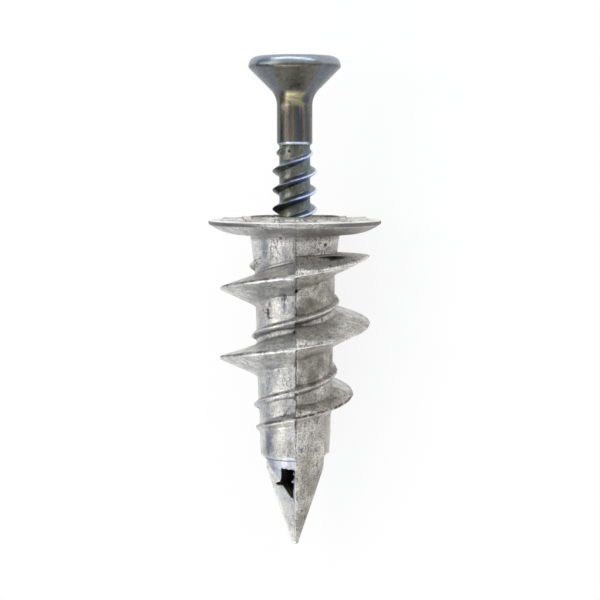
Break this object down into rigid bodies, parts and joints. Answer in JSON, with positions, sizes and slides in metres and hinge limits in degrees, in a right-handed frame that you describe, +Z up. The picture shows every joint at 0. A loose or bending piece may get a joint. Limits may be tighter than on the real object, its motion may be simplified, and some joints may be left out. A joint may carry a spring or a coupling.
{
  "type": "drywall anchor",
  "caption": "Self-drilling metal plasterboard anchor with a round flange, deep blade thread and split spade tip, holding a countersunk screw driven part of the way in.",
  "frame": {"origin": "on the surface that the anchor lies on, under the middle of its bounding box", "axes": "+Z up, +Y the way that the screw's head points, +X to the right when the tip points at the viewer's feet"},
  "size_m": [0.017, 0.0484, 0.0169],
  "materials": {
    "zinc": "as-cast zinc alloy, dull light grey, mottled",
    "steel": "blue-passivated zinc-plated steel, glossy"
  },
  "bodies": {
    "root": {"anchor_body": "zinc", "screw": "steel"}
  },
  "joints": []
}
